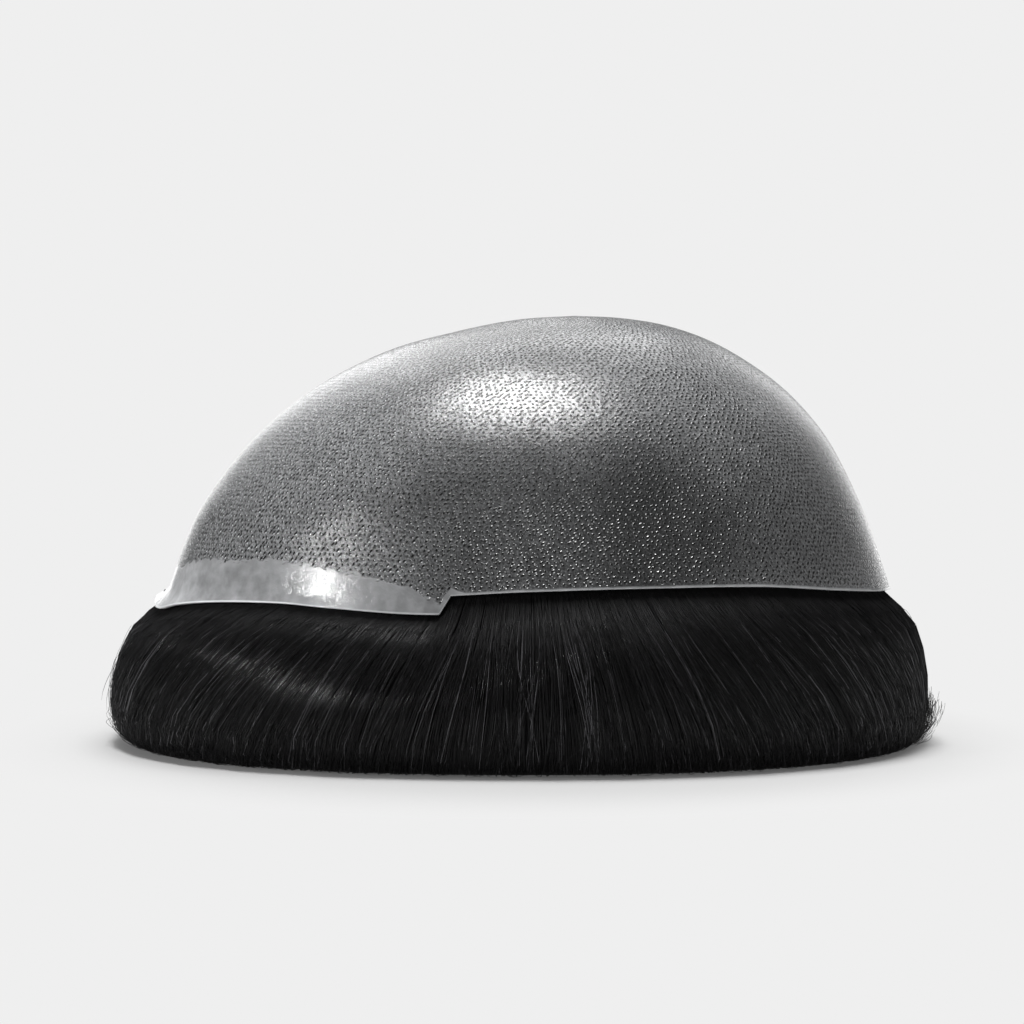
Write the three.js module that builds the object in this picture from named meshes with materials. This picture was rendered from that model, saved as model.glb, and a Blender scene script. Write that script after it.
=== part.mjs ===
// A thin-skin hairpiece turned inside out and stood on its hair. The moulded skin dome shows its scalp side,
// and the hair knotted through it hangs inside, comes out below the rim and rolls under into a nest.
// Millimetres, +Z up, the hairline (front) towards -X, the floor at Z = 0.
import * as THREE from 'three';
import { mergeVertices } from 'three/addons/utils/BufferGeometryUtils.js';

// Driving sizes of the skin
const baseLength = 187; // rim, front to back, without the front strip's flare
const baseWidth = 136; // rim, side to side
const rimHeight = 39.4; // rim above the floor, at the front and the back
const sideLift = 4.5; // how much higher the rim runs along the sides
const crownRise = 70.5; // crown above the rim
const crownShift = 11.8; // crown behind the middle of the rim
const skinWall = 1; // thickness of the skin

// Driving sizes of the uncut clear strip along the front hairline
const stripDrop = 4.3; // how far it hangs below the rim
const stripFlare = 3.2; // how far its edge turns out at the front
const stripEnd = 80; // degrees round the rim from the front to each end
const stripEndSlope = 1.4; // degrees that each slanted end takes up

// Driving sizes of the hair
const frontBulge = 15.6; // how far the roll of hair stands out from the rim
const sideBulge = 12.4;
const backBulge = 10.9;
const nestLength = 118; // the open middle of the nest
const nestWidth = 66;
const rootThickness = 5; // hair lying against the skin just above the rim
const rimThickening = 1.2; // how much thicker that hair is at the rim, as a share of its thickness
const crownThickness = 3.4; // mat of hair over the rest of the skin
const lockCount = 32; // locks round the whole roll
const crownLocks = 14; // locks round the mat on the crown
const lockDepth = 1.8; // groove between two locks
const lockWaviness = 0.8; // how unevenly the locks stand out
const tipUnevenness = 0.07; // how unevenly the locks end, as a share of their reach
const sweep = 19; // degrees that the hair is combed away from the side parting
const clearance = 0.35; // air kept between two pieces
const edgeClearance = 0.9; // air between the skin's lower edge and the hair that comes out below it

// Superellipse exponent of the rim in plan: 2 is an ellipse, more is squarer
const rimFullness = 2.2;

// Share of the reach at which the hair of the roll is rooted, between the crown (0) and the rim (1)
const rootLine = 0.945;

// Share of the reach just above the rim, where the hair still follows the dome and not yet the strip
const aboveRim = 0.994;

// How many facets the skin gets: columns round it, and rows of points from crown to edge, as shares of the reach.
// The mat below it takes the same columns, and the rows down to its own edge.
const skinColumns = 64;
const skinRows = [0.15, 0.3, 0.45, 0.58, 0.7, 0.8, 0.885, 0.93, 0.965, 0.985, 1];
const crownRowCount = 7;

// The skin from crown to rim: drop, as a share of the height, at each reach, as a share of the way out
const domeProfile = [
  { reach: 0, front: 0, side: 0, back: 0 },
  { reach: 0.15, front: 0.016, side: 0.011, back: 0.009 },
  { reach: 0.3, front: 0.061, side: 0.045, back: 0.039 },
  { reach: 0.45, front: 0.123, side: 0.104, back: 0.104 },
  { reach: 0.6, front: 0.229, side: 0.197, back: 0.211 },
  { reach: 0.7, front: 0.331, side: 0.284, back: 0.311 },
  { reach: 0.8, front: 0.468, side: 0.4, back: 0.453 },
  { reach: 0.88, front: 0.617, side: 0.53, back: 0.627 },
  { reach: 0.94, front: 0.765, side: 0.68, back: 0.795 },
  { reach: 1, front: 1, side: 1, back: 1 },
];

// The rim from front (0) to back (180): lift as a share of sideLift, drop of the strip as a share of stripDrop,
// flare of the strip as a share of stripFlare. Past the strip's end the drop only guides the hair below.
const rimLine = [
  { turn: 0, lift: 0, drop: 1, flare: 1 },
  { turn: 12, lift: 0.04, drop: 1, flare: 0.95 },
  { turn: 24, lift: 0.14, drop: 0.62, flare: 0.6 },
  { turn: 38, lift: 0.26, drop: 0.36, flare: 0.35 },
  { turn: 52, lift: 0.38, drop: 0.36, flare: 0.25 },
  { turn: 62, lift: 0.46, drop: 0.62, flare: 0.22 },
  { turn: 78, lift: 0.6, drop: 1, flare: 0.25 },
  { turn: 90, lift: 0.86, drop: 0.9, flare: 0 },
  { turn: 104, lift: 1, drop: 0.8, flare: 0 },
  { turn: 124, lift: 0.96, drop: 0.7, flare: 0 },
  { turn: 142, lift: 0.55, drop: 0.5, flare: 0 },
  { turn: 160, lift: 0.2, drop: 0.35, flare: 0 },
  { turn: 180, lift: 0, drop: 0.3, flare: 0 },
];

// The roll of hair below the skin's edge, from top to bottom. outer is how far the outside stands out, as a share
// of the bulge; inner is how far the inside reaches in, as a share of the way from the rim to the nest's mouth;
// both heights are shares of the height of the edge. comb is how much of the sweep the hair has taken there,
// and groove how deep the grooves between locks are.
const rollProfile = [
  { outer: 0.34, outerHeight: 0.9, inner: 0.34, innerHeight: 0.86, comb: 0.2, groove: 0.35 },
  { outer: 0.56, outerHeight: 0.79, inner: 0.42, innerHeight: 0.76, comb: 0.42, groove: 0.7 },
  { outer: 0.8, outerHeight: 0.62, inner: 0.52, innerHeight: 0.64, comb: 0.64, groove: 1 },
  { outer: 0.94, outerHeight: 0.45, inner: 0.64, innerHeight: 0.52, comb: 0.82, groove: 1 },
  { outer: 1, outerHeight: 0.28, inner: 0.78, innerHeight: 0.39, comb: 0.94, groove: 0.9 },
  { outer: 0.98, outerHeight: 0.13, inner: 0.93, innerHeight: 0.25, comb: 1, groove: 0.7 },
  { outer: 0.88, outerHeight: 0.04, inner: 1, innerHeight: 0.12, comb: 1.02, groove: 0.35 },
  { outer: 0.66, outerHeight: 0, inner: 0.93, innerHeight: 0, comb: 1.04, groove: 0 },
];

// The inside of the roll where it leaves the dome, above those rows
const throatProfile = [
  { inner: 0.22, innerHeight: 1.02 },
  { inner: 0.28, innerHeight: 0.94 },
];

// The locks stand out unevenly by two waves that run round the roll: radians for each lock, and share of the whole
const unevenWaves = [
  { pace: 2.4, share: 0.6 },
  { pace: 5.1, share: 0.4 },
];

// The four stretches of the roll, each from one share of the way round to the next, counted from the back
const rollSections = [
  { name: 'hair_right', from: 0.125, to: 0.375 },
  { name: 'hair_front', from: 0.375, to: 0.625 },
  { name: 'hair_left', from: 0.625, to: 0.875 },
  { name: 'hair_back', from: 0.875, to: 1.125 },
];

// Cross-section of one lock: how far it stands out of the groove at each column across it
const lockArch = [0, 0.72, 1, 0.62];

const rad = THREE.MathUtils.degToRad;

// Smooth curve through the rows of a table: each row's slope is the one between its two neighbours
function readTable(rows, key, column, at) {
  const last = rows.length - 1;
  const x = THREE.MathUtils.clamp(at, rows[0][key], rows[last][key]);
  let i = 0;
  while (i < last - 1 && x > rows[i + 1][key]) i += 1;
  const slope = (n) => {
    const a = rows[Math.max(n - 1, 0)];
    const b = rows[Math.min(n + 1, last)];
    return (b[column] - a[column]) / (b[key] - a[key]);
  };
  const step = rows[i + 1][key] - rows[i][key];
  const t = (x - rows[i][key]) / step;
  const rise = rows[i + 1][column] - rows[i][column];
  const bendIn = slope(i) * step - rise;
  const bendOut = rise - slope(i + 1) * step;
  return rows[i][column] + rise * t + t * (1 - t) * (bendIn * (1 - t) + bendOut * t);
}

// Degrees round the rim from the front, 0 to 180 on either side
function degreesFromFront(angle) {
  const turned = Math.acos(THREE.MathUtils.clamp(Math.cos(angle), -1, 1));
  return 180 - THREE.MathUtils.radToDeg(turned);
}

// Point on a superellipse round the middle of the rim; angle 0 is the back
function ovalPoint(angle, length, width) {
  const power = (value) => Math.sign(value) * Math.abs(value) ** (2 / rimFullness);
  return new THREE.Vector3((length / 2) * power(Math.cos(angle)), (width / 2) * power(Math.sin(angle)), 0);
}

// Unit vector along the rim, and the one straight out from it, both level
function rimTangent(angle) {
  const step = 0.01;
  const ahead = ovalPoint(angle + step, baseLength, baseWidth);
  return ahead.sub(ovalPoint(angle - step, baseLength, baseWidth)).normalize();
}

function rimOutward(angle) {
  const along = rimTangent(angle);
  return new THREE.Vector3(along.y, -along.x, 0);
}

// Height of the rim, of the strip's edge were it to run all the way round, and of the skin's real lower edge
function rimLevel(angle) {
  return rimHeight + sideLift * readTable(rimLine, 'turn', 'lift', degreesFromFront(angle));
}

function lowLevel(angle) {
  return rimLevel(angle) - stripDrop * readTable(rimLine, 'turn', 'drop', degreesFromFront(angle));
}

// 1 along the strip, 0 past its ends, with a short slanted ramp between
function stripShare(angle) {
  return THREE.MathUtils.clamp((stripEnd - degreesFromFront(angle)) / stripEndSlope, 0, 1);
}

function edgeLevel(angle) {
  return THREE.MathUtils.lerp(rimLevel(angle), lowLevel(angle), stripShare(angle));
}

// How far out the skin reaches at its lower edge, where 1 is the rim without the strip
function edgeReach(angle) {
  const flare = stripFlare * readTable(rimLine, 'turn', 'flare', degreesFromFront(angle));
  return 1 + (stripShare(angle) * flare) / ovalPoint(angle, baseLength, baseWidth).length();
}

// Point on the outside of the skin: angle round it, and reach from the crown (0) to the rim (1) and past it
function skinPoint(angle, reach) {
  const crown = new THREE.Vector3(crownShift, 0, 0);
  const point = crown.clone().lerp(ovalPoint(angle, baseLength, baseWidth), reach);
  const endward = Math.cos(angle) ** 2;
  const end = Math.cos(angle) < 0 ? 'front' : 'back';
  const inDome = Math.min(reach, 1);
  const drop = THREE.MathUtils.lerp(
    readTable(domeProfile, 'reach', 'side', inDome),
    readTable(domeProfile, 'reach', end, inDome),
    endward,
  );
  const top = rimHeight + crownRise;
  point.z = top - (top - rimLevel(angle)) * drop;
  const past = edgeReach(angle) - 1;
  if (reach > 1 && past > 0) point.z -= ((reach - 1) / past) * (rimLevel(angle) - edgeLevel(angle));
  return point;
}

// Outward normal of the skin, from two short steps on it
function skinNormal(angle, reach) {
  const step = 0.004;
  const low = Math.max(reach - step, step);
  const down = skinPoint(angle, Math.min(low + 2 * step, 1)).sub(skinPoint(angle, Math.min(low, 1 - 2 * step)));
  const round = skinPoint(angle + step, low).sub(skinPoint(angle - step, low));
  return down.cross(round).normalize();
}

// Point at a depth inside the skin's outer face
function insidePoint(angle, reach, depth) {
  if (reach === 0) return skinPoint(angle, 0).setZ(rimHeight + crownRise - depth);
  return skinPoint(angle, reach).addScaledVector(skinNormal(angle, Math.min(reach, 1)), -depth);
}

// Reach that lies a distance along the skin above a given reach
function reachAbove(angle, reach, distance) {
  const step = 0.01;
  const perShare = skinPoint(angle, reach).distanceTo(skinPoint(angle, reach - step)) / step;
  return reach - distance / perShare;
}

function meshFrom(name, points, triangles, material) {
  const raw = new THREE.BufferGeometry();
  raw.setAttribute('position', new THREE.Float32BufferAttribute(points.flatMap((p) => [p.x, p.y, p.z]), 3));
  raw.setIndex(triangles.flat());
  const geometry = mergeVertices(raw);
  geometry.computeVertexNormals();
  const mesh = new THREE.Mesh(geometry, material);
  mesh.name = name;
  return mesh;
}

// Two triangles across four corners given in turn, counter-clockwise from outside
function quad(a, b, c, d) {
  return [[a, b, c], [a, c, d]];
}

// A cap with a pole: outer and inner faces share their angles and rows, and a band joins them at the edge
function capMesh(name, angles, rowShares, outerPoint, innerPoint, material) {
  const rows = rowShares.length;
  const columns = angles.length;
  const points = [outerPoint(0, 0), innerPoint(0, 0)];
  for (const face of [outerPoint, innerPoint]) {
    for (const angle of angles) {
      for (const share of rowShares) points.push(face(angle, share));
    }
  }
  const outer = (column, row) => 2 + (column % columns) * rows + row;
  const inner = (column, row) => columns * rows + outer(column, row);
  const triangles = [];
  for (let c = 0; c < columns; c += 1) {
    triangles.push([0, outer(c, 0), outer(c + 1, 0)], [1, inner(c + 1, 0), inner(c, 0)]);
    for (let r = 0; r < rows - 1; r += 1) {
      triangles.push(...quad(outer(c, r), outer(c, r + 1), outer(c + 1, r + 1), outer(c + 1, r)));
      triangles.push(...quad(inner(c, r), inner(c + 1, r), inner(c + 1, r + 1), inner(c, r + 1)));
    }
    const edge = rows - 1;
    triangles.push(...quad(outer(c, edge), inner(c, edge), inner(c + 1, edge), outer(c + 1, edge)));
  }
  return meshFrom(name, points, triangles, material);
}

// Angles of the columns round the skin: evenly spaced, with the slanted ends of the strip let in
function skinAngles() {
  const turns = [stripEnd, stripEnd - stripEndSlope];
  const ends = turns.flatMap((turn) => [Math.PI - rad(turn), Math.PI + rad(turn)]);
  const even = Array.from({ length: skinColumns }, (_, i) => (i / skinColumns) * 2 * Math.PI);
  const apart = even.filter((angle) => ends.every((end) => Math.abs(angle - end) > rad(stripEndSlope / 2)));
  return [...apart, ...ends].sort((a, b) => a - b);
}

// The skin: one moulded sheet, its outside and inside a wall apart, with the uncut strip below its front rim
function skinBase(material) {
  const face = (depth) => (angle, share) => insidePoint(angle, share * edgeReach(angle), depth);
  return capMesh('skin_base', skinAngles(), skinRows, face(0), face(skinWall), material);
}

// The mat of hair knotted across the crown: it lines the skin down to where the roll is rooted
function hairCrown(material) {
  const outside = skinWall + clearance;
  const reachAt = (angle, share) =>
    share < 1 ? share * edgeReach(angle) : reachAbove(angle, rootLine, 2 * clearance);
  const outerFace = (angle, share) => insidePoint(angle, reachAt(angle, share), outside);
  const innerFace = (angle, share) => {
    const groove = (lockDepth / 2) * share * (1 - Math.abs(Math.sin((angle * crownLocks) / 2)));
    return insidePoint(angle, reachAt(angle, share), outside + crownThickness - groove);
  };
  const rows = [...skinRows.slice(0, crownRowCount), 1];
  return capMesh('hair_crown', skinAngles(), rows, outerFace, innerFace, material);
}

// Even but irregular number between -1 and 1 for each lock
function lockWave(lock) {
  const turns = ((lock % lockCount) + lockCount) % lockCount;
  return unevenWaves.reduce((sum, wave) => sum + wave.share * Math.sin(turns * wave.pace), 0);
}

// Lowest level of the skin's edge, outside and inside, within one column on either side, less the clearance
function underEdge(angle, columnStep) {
  const around = [-1, 0, 1].map((side) => angle + side * columnStep);
  const levels = around.flatMap((near) => [edgeLevel(near), insidePoint(near, edgeReach(near), skinWall).z]);
  return Math.min(...levels) - edgeClearance;
}

// One column of the roll: its outside and its inside, top to bottom. along is in locks round from the back,
// and shift moves the column sideways, to keep two sections apart
function rollColumn(along, shift) {
  const root = (along / lockCount) * 2 * Math.PI;
  const columnStep = (2 * Math.PI) / (lockCount * lockArch.length);
  const edge = edgeReach(root);
  const nestWay = (angle, share) =>
    ovalPoint(angle, baseLength, baseWidth).lerp(ovalPoint(angle, nestLength, nestWidth), share);
  const outside = skinWall + clearance;
  const outer = [insidePoint(root, rootLine, outside), insidePoint(root, aboveRim, outside + clearance)];
  outer.push(insidePoint(root, edge, outside + clearance));
  outer.push(skinPoint(root, edge).setZ(underEdge(root, columnStep)));
  const inner = [insidePoint(root, rootLine, outside + rootThickness)];
  inner.push(insidePoint(root, aboveRim, outside + rootThickness * rimThickening));
  for (const row of throatProfile) inner.push(nestWay(root, row.inner).setZ(lowLevel(root) * row.innerHeight));

  const arch = lockArch[Math.round(along * lockArch.length) % lockArch.length];
  const wave = THREE.MathUtils.lerp(lockWave(Math.floor(along)), lockWave(Math.floor(along) + 1), along % 1);
  for (const row of rollProfile) {
    const angle = root - rad(sweep) * row.comb * Math.sin(2 * root);
    const endward = Math.cos(angle) ** 2;
    const bulge = THREE.MathUtils.lerp(sideBulge, Math.cos(angle) < 0 ? frontBulge : backBulge, endward);
    const relief = row.groove * (lockDepth * (arch - 1) + lockWaviness * wave);
    const outerPoint = ovalPoint(angle, baseLength, baseWidth);
    outerPoint.addScaledVector(rimOutward(angle), bulge * row.outer + relief);
    outer.push(outerPoint.setZ(lowLevel(angle) * row.outerHeight));
    const tip = row.inner * (1 + tipUnevenness * wave * row.comb - (lockDepth / nestWidth) * (1 - arch));
    inner.push(nestWay(angle, tip).setZ(lowLevel(angle) * row.innerHeight));
  }
  const sideways = rimTangent(root).multiplyScalar(shift);
  return [...outer, ...inner.reverse()].map((point) => point.add(sideways));
}

// One stretch of the roll: its columns joined into locks, closed at both ends
function rollSection({ name, from, to }, material) {
  const columns = [];
  const firstLock = Math.round(from * lockCount);
  const steps = (Math.round(to * lockCount) - firstLock) * lockArch.length;
  for (let i = 0; i <= steps; i += 1) {
    const shift = i === 0 ? clearance : i === steps ? -clearance : 0;
    columns.push(rollColumn(firstLock + i / lockArch.length, shift));
  }
  const round = columns[0].length;
  const at = (column, k) => column * round + (((k % round) + round) % round);
  const triangles = [];
  for (let c = 0; c < steps; c += 1) {
    for (let k = 0; k < round; k += 1) {
      triangles.push(...quad(at(c, k), at(c, k + 1), at(c + 1, k + 1), at(c + 1, k)));
    }
  }
  for (let k = 0; k < round / 2 - 1; k += 1) {
    const across = round - 1 - k;
    triangles.push(...quad(at(0, k), at(0, across), at(0, across - 1), at(0, k + 1)));
    triangles.push(...quad(at(steps, k), at(steps, k + 1), at(steps, across - 1), at(steps, across)));
  }
  return meshFrom(name, columns.flat(), triangles, material);
}

const skinMaterial = new THREE.MeshStandardMaterial({ color: 0x8f9294, roughness: 0.25, metalness: 0 });
const hairMaterial = new THREE.MeshStandardMaterial({ color: 0x151517, roughness: 0.5, metalness: 0 });

const hairpiece = new THREE.Group();
hairpiece.add(skinBase(skinMaterial), hairCrown(hairMaterial));
for (const section of rollSections) hairpiece.add(rollSection(section, hairMaterial));

// The origin is on the floor, in the middle of the overall length and width
const bounds = new THREE.Box3().setFromObject(hairpiece);
hairpiece.position.x = -(bounds.min.x + bounds.max.x) / 2;
hairpiece.position.y = -(bounds.min.y + bounds.max.y) / 2;

export default hairpiece;
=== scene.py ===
import math

import bpy
import numpy as np
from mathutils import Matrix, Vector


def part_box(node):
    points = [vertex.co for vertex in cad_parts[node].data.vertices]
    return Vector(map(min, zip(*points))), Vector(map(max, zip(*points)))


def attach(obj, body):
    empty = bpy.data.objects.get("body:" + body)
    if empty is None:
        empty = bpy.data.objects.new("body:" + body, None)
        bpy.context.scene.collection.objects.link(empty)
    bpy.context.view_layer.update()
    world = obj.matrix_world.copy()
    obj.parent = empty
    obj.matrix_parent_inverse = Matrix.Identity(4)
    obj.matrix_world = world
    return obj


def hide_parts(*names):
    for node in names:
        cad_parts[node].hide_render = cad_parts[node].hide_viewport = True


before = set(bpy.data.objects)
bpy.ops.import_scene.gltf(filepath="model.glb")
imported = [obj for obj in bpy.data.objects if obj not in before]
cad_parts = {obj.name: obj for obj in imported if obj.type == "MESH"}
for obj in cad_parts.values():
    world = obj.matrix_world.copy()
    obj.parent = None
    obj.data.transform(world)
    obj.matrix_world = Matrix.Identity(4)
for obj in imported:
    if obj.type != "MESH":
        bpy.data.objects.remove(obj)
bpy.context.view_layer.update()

# The camera stands on the hairpiece's left side, level with the upper skin, and looks a little down through a
# long lens. The middle of the square picture falls just in front of the middle of the hairpiece.
camera_pitch = math.radians(2.8)
camera = bpy.data.objects.new("camera", bpy.data.cameras.new("camera"))
camera.data.lens = 100
camera.location = (-0.0021, -0.740, 0.0951)
camera.rotation_euler = (math.pi / 2 - camera_pitch, 0, 0)
bpy.context.scene.collection.objects.link(camera)
bpy.context.scene.camera = camera
bpy.context.scene.view_settings.view_transform = "Standard"


# The skin is one sheet of clear polyurethane, moulded over a head block. It shows grey because dark hair lies
# against its far side, and milky along the front, where a bare strip is left to be cut to the hairline.
rim_length = 0.187
rim_width = 0.136
rim_height = 0.0394
side_lift = 0.0045
crown_shift = 0.0118
skin_wall = 0.001
rim_fullness = 2.2
strip_drop = 0.0043
strip_flare = 0.0032
strip_end = 80
strip_slope = 1.4
_, skin_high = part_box("skin_base")
crown_height = skin_high[2]
rim_middle = skin_high[0] - rim_length / 2

# Drop from the crown as a share of its height, by the share of the way out: at the front, the sides, the back
dome_reach = (0, 0.15, 0.3, 0.45, 0.6, 0.7, 0.8, 0.88, 0.94, 1)
dome_front = (0, 0.016, 0.061, 0.123, 0.229, 0.331, 0.468, 0.617, 0.765, 1)
dome_side = (0, 0.011, 0.045, 0.104, 0.197, 0.284, 0.4, 0.53, 0.68, 1)
dome_back = (0, 0.009, 0.039, 0.104, 0.211, 0.311, 0.453, 0.627, 0.795, 1)

# Round the rim, by degrees from the front: its lift, the drop of the strip and how far the strip turns out
rim_turn = (0, 12, 24, 38, 52, 62, 78, 90, 104, 124, 142, 160, 180)
rim_lift = (0, 0.04, 0.14, 0.26, 0.38, 0.46, 0.6, 0.86, 1, 0.96, 0.55, 0.2, 0)
rim_drop = (0.5, 1, 0.62, 0.36, 0.36, 0.62, 1, 0.9, 0.8, 0.7, 0.5, 0.35, 0.3)
rim_flare = (1, 0.95, 0.6, 0.35, 0.25, 0.22, 0.25, 0, 0, 0, 0, 0, 0)


def smooth_curve(at, places, values):
    """Cubic between each two points of a table, whose slope at a point is that between its neighbours."""
    x, y = np.asarray(places, float), np.asarray(values, float)
    at = np.clip(at, x[0], x[-1])
    before = np.maximum(np.arange(len(x)) - 1, 0)
    after = np.minimum(np.arange(len(x)) + 1, len(x) - 1)
    slope = (y[after] - y[before]) / (x[after] - x[before])
    i = np.clip(np.searchsorted(x, at) - 1, 0, len(x) - 2)
    step, rise = x[i + 1] - x[i], y[i + 1] - y[i]
    t = (at - x[i]) / step
    bend_in, bend_out = slope[i] * step - rise, rise - slope[i + 1] * step
    return y[i] + rise * t + t * (1 - t) * (bend_in * (1 - t) + bend_out * t)


def turn_from_front(angle):
    """Degrees round the rim from the front, 0 to 180 on either side; angle 0 is the back."""
    return 180 - np.degrees(np.arccos(np.clip(np.cos(angle), -1, 1)))


def oval(angle, length, width):
    """Point of an oval round the rim's middle: each half axis times cos or sin to the power 2 / fullness."""
    power = 2 / rim_fullness
    x = length / 2 * np.sign(np.cos(angle)) * np.abs(np.cos(angle)) ** power + rim_middle
    y = width / 2 * np.sign(np.sin(angle)) * np.abs(np.sin(angle)) ** power
    return np.stack([x, y, np.zeros_like(x)], axis=-1)


def rim_oval(angle):
    """Point of the rim in plan."""
    return oval(angle, rim_length, rim_width)


def rim_reach(angle):
    """Level distance of the rim from its own middle."""
    return np.linalg.norm(rim_oval(angle) - np.array([rim_middle, 0, 0]), axis=-1)


def rim_level(angle):
    """Height of the rim: its height at the ends and the side's lift times the table's share."""
    return rim_height + side_lift * smooth_curve(turn_from_front(angle), rim_turn, rim_lift)


def low_level(angle):
    """Height of the strip's lower edge, were it to run all the way round."""
    return rim_level(angle) - strip_drop * smooth_curve(turn_from_front(angle), rim_turn, rim_drop)


def strip_share(angle):
    """1 along the strip, 0 past its ends, with a short slanted ramp between."""
    return np.clip((strip_end - turn_from_front(angle)) / strip_slope, 0, 1)


def edge_level(angle):
    """Height of the skin's real lower edge: the strip's along the front, the rim's past its ends."""
    return rim_level(angle) + strip_share(angle) * (low_level(angle) - rim_level(angle))


def edge_reach(angle):
    """How far out the skin reaches at its lower edge, where 1 is the rim without the strip."""
    flare = strip_flare * smooth_curve(turn_from_front(angle), rim_turn, rim_flare)
    return 1 + strip_share(angle) * flare / rim_reach(angle)


def skin_point(angle, reach):
    """Outside of the skin: from the crown straight out to the rim in plan, and down by the dome's own drop,
    which turns from the side's to the end's as the square of the cosine. Past the rim it falls to the strip's
    edge."""
    angle, reach = np.broadcast_arrays(np.asarray(angle, float), np.asarray(reach, float))
    crown = np.array([rim_middle + crown_shift, 0, 0])
    point = crown + (rim_oval(angle) - crown) * reach[..., None]
    endward = np.cos(angle) ** 2
    in_dome = np.minimum(reach, 1)
    front, back = (smooth_curve(in_dome, dome_reach, drops) for drops in (dome_front, dome_back))
    end = np.where(np.cos(angle) < 0, front, back)
    side = smooth_curve(in_dome, dome_reach, dome_side)
    point[..., 2] = crown_height - (crown_height - rim_level(angle)) * (side + (end - side) * endward)
    past = np.maximum(edge_reach(angle) - 1, 1e-9)
    beyond = np.clip((reach - 1) / past, 0, 1)
    point[..., 2] -= np.where(edge_reach(angle) > 1, beyond * (rim_level(angle) - edge_level(angle)), 0)
    return point


def unit(vectors):
    """Vectors over their own length."""
    return vectors / np.maximum(np.linalg.norm(vectors, axis=-1, keepdims=True), 1e-12)


def skin_normal(angle, reach):
    """Cross product of a short step down the dome and a short step round it."""
    step = 0.004
    low = np.clip(reach, step, 1) - step / 2
    down = skin_point(angle, np.minimum(low + step, 1)) - skin_point(angle, np.minimum(low, 1 - step))
    around = skin_point(angle + step, low + step / 2) - skin_point(angle - step, low + step / 2)
    return unit(np.cross(down, around))


def under_skin(angle, reach, depth):
    """Point at a depth inside the skin's outer face."""
    return skin_point(angle, reach) - skin_normal(angle, reach) * np.asarray(depth)[..., None]


def new_piece(name, points, faces, material):
    """A smooth mesh object of points and faces, finished with one material, that rides with the hairpiece."""
    mesh = bpy.data.meshes.new(name)
    mesh.from_pydata(points.reshape(-1, 3), [], faces)
    mesh.shade_smooth()
    mesh.materials.append(material)
    piece = bpy.data.objects.new(name, mesh)
    bpy.context.scene.collection.objects.link(piece)
    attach(piece, "root")
    return piece


def shell_faces(columns, rows):
    """Quads of a cap with an outer and an inner face, joined at the edge, after their two poles. Both faces
    hold columns times rows points, a column at a time from the pole down. Returns for each corner of each
    face its point, its column (the last runs on to the full count) and its row, where row -1 is the pole."""
    c, r = (grid.ravel() for grid in np.meshgrid(np.arange(columns), np.arange(rows - 1), indexing="ij"))
    quads = [(c, r, 0), (c, r + 1, 0), (c + 1, r + 1, 0), (c + 1, r, 0)]
    c = np.arange(columns)
    top, edge = np.zeros_like(c), np.full_like(c, rows - 1)
    band = [(c, edge, 0), (c, edge, 1), (c + 1, edge, 1), (c + 1, edge, 0)]
    fan = [(c, top - 1, 0), (c, top, 0), (c + 1, top, 0)]
    inner_quads, inner_fan = ([(a, b, 1) for a, b, _ in reversed(loop)] for loop in (quads, fan))
    corners = []
    for loop in (quads, inner_quads, band, fan, inner_fan):
        column = np.stack([a for a, _, _ in loop], axis=1)
        row = np.stack([b for _, b, _ in loop], axis=1)
        face = np.array([side for _, _, side in loop])
        point = np.where(row < 0, face, 2 + (face * columns + column % columns) * rows + row)
        corners.append((point, column, row))
    return corners


class Val:
    """A shader value or vector. Python's operators add the Math nodes."""

    tree = None

    def __init__(self, socket):
        self.socket = socket

    @staticmethod
    def node(kind, settings=(), inputs=(), output=0):
        """One node of a kind, with its settings and its sockets' values or links, by name or number."""
        made = Val.tree.nodes.new("ShaderNode" + kind)
        for key, value in dict(settings).items():
            setattr(made, key, value)
        for key, value in dict(inputs).items():
            if isinstance(value, Val):
                Val.tree.links.new(value.socket, made.inputs[key])
            else:
                made.inputs[key].default_value = value
        return Val(made.outputs[output])

    def _math(self, operation, first, second):
        return Val.node("Math", {"operation": operation}, {0: first, 1: second})

    def __add__(self, other):
        return self._math("ADD", self, other)

    def __sub__(self, other):
        return self._math("SUBTRACT", self, other)

    def __mul__(self, other):
        return self._math("MULTIPLY", self, other)

    def __truediv__(self, other):
        return self._math("DIVIDE", self, other)

    def __pow__(self, other):
        return self._math("POWER", self, other)

    def __radd__(self, other):
        return self._math("ADD", other, self)

    def __rsub__(self, other):
        return self._math("SUBTRACT", other, self)

    def __rmul__(self, other):
        return self._math("MULTIPLY", other, self)

    def clamped(self):
        """The value held between 0 and 1."""
        return Val.node("Clamp", {}, {"Value": self})

    def whole(self):
        """The whole number below."""
        return self._math("FLOOR", self, 0.0)

    def part(self):
        """What is left above the whole number."""
        return self._math("FRACT", self, 0.0)

    def rising(self, low, high):
        """0 below low, 1 above high, and a smooth step between."""
        ends = {"Value": self, "From Min": low, "From Max": high}
        return Val.node("MapRange", {"interpolation_type": "SMOOTHSTEP"}, ends)

    def xyz(self):
        """The three numbers of a vector or colour."""
        split = Val.node("SeparateXYZ", {}, {"Vector": self}).socket.node
        return [Val(split.outputs[i]) for i in range(3)]


def new_material(name):
    """An empty node material and its output's Surface socket. The nodes made next go into it."""
    material = bpy.data.materials.new(name)
    material.use_nodes = True
    material.node_tree.nodes.clear()
    Val.tree = material.node_tree
    return material, Val.tree.nodes.new("ShaderNodeOutputMaterial").inputs["Surface"]


def finish(surface, **sockets):
    """Principled finish with the given sockets, whose names are written with _ for a space."""
    made = Val.node("BsdfPrincipled", {}, {key.replace("_", " "): value for key, value in sockets.items()})
    Val.tree.links.new(made.socket, surface)


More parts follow.
